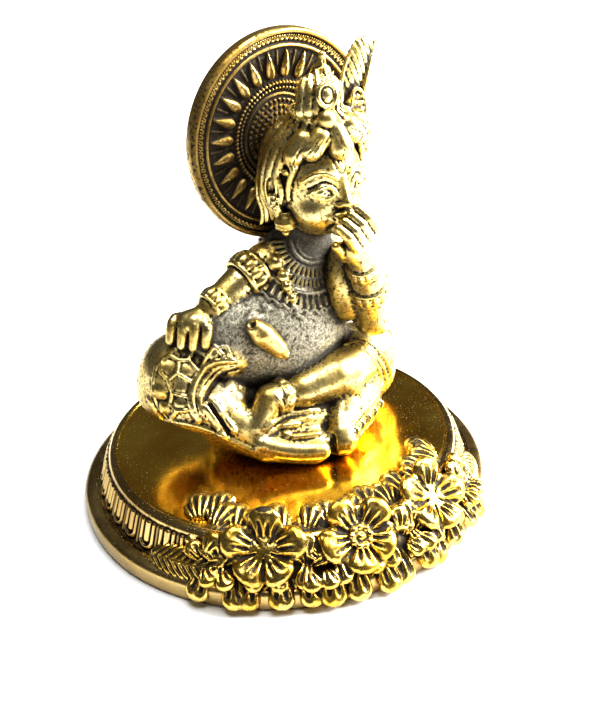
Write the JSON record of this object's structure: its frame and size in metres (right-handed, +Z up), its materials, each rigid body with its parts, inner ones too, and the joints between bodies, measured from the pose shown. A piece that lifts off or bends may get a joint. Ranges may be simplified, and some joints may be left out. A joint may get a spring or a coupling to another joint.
{
  "type": "seated child deity statuette",
  "caption": "Small cast brass statuette of a seated child deity with a tipped butter pot, on a round flower-edged plinth, with a round halo disc behind the head.",
  "frame": {"origin": "centre of the flat underside of the round base", "axes": "+Z up; the figure and the halo face -Y; +X is towards the figure's left hand"},
  "size_m": [0.088, 0.091, 0.0962],
  "materials": {
    "base": "turned and polished plate, dark patina in the relief",
    "figure": "polished high spots over a dark antique patina",
    "halo": "polished high spots over a dark antique patina"
  },
  "bodies": {
    "root": {"base": "base", "figure": "figure", "halo": "halo"}
  },
  "joints": []
}
